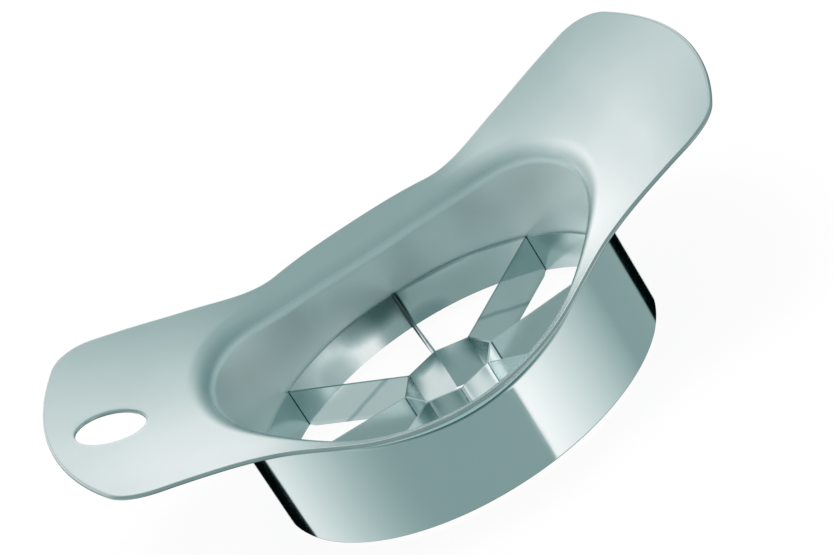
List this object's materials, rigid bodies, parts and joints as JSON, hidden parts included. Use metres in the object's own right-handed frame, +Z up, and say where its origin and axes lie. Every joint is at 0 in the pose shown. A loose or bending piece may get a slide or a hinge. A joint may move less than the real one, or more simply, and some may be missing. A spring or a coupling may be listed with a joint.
{
  "type": "apple slicer and corer",
  "caption": "Two-handed all-steel apple slicer and corer: a drawn ring with dished hand wings, a hanging hole, raked blades and an eight-sided core.",
  "frame": {"origin": "on the axis of the core, at the level of its lower edge, which the tool stands on", "axes": "+Z up along the core's axis, against the direction of the cut; X along the two hand wings, with the hanging hole at -X; Y across them"},
  "size_m": [0.17, 0.1166, 0.0493],
  "materials": {
    "drawn_steel": "fine satin inside and on the wings, polished on the outer wall",
    "blade_steel": "bright rolled strip"
  },
  "bodies": {
    "root": {"body": "drawn_steel", "blade_band": "blade_steel", "core": "blade_steel", "blade_1": "blade_steel", "blade_2": "blade_steel", "blade_3": "blade_steel", "blade_4": "blade_steel", "blade_5": "blade_steel", "blade_6": "blade_steel", "blade_7": "blade_steel", "blade_8": "blade_steel"}
  },
  "joints": []
}
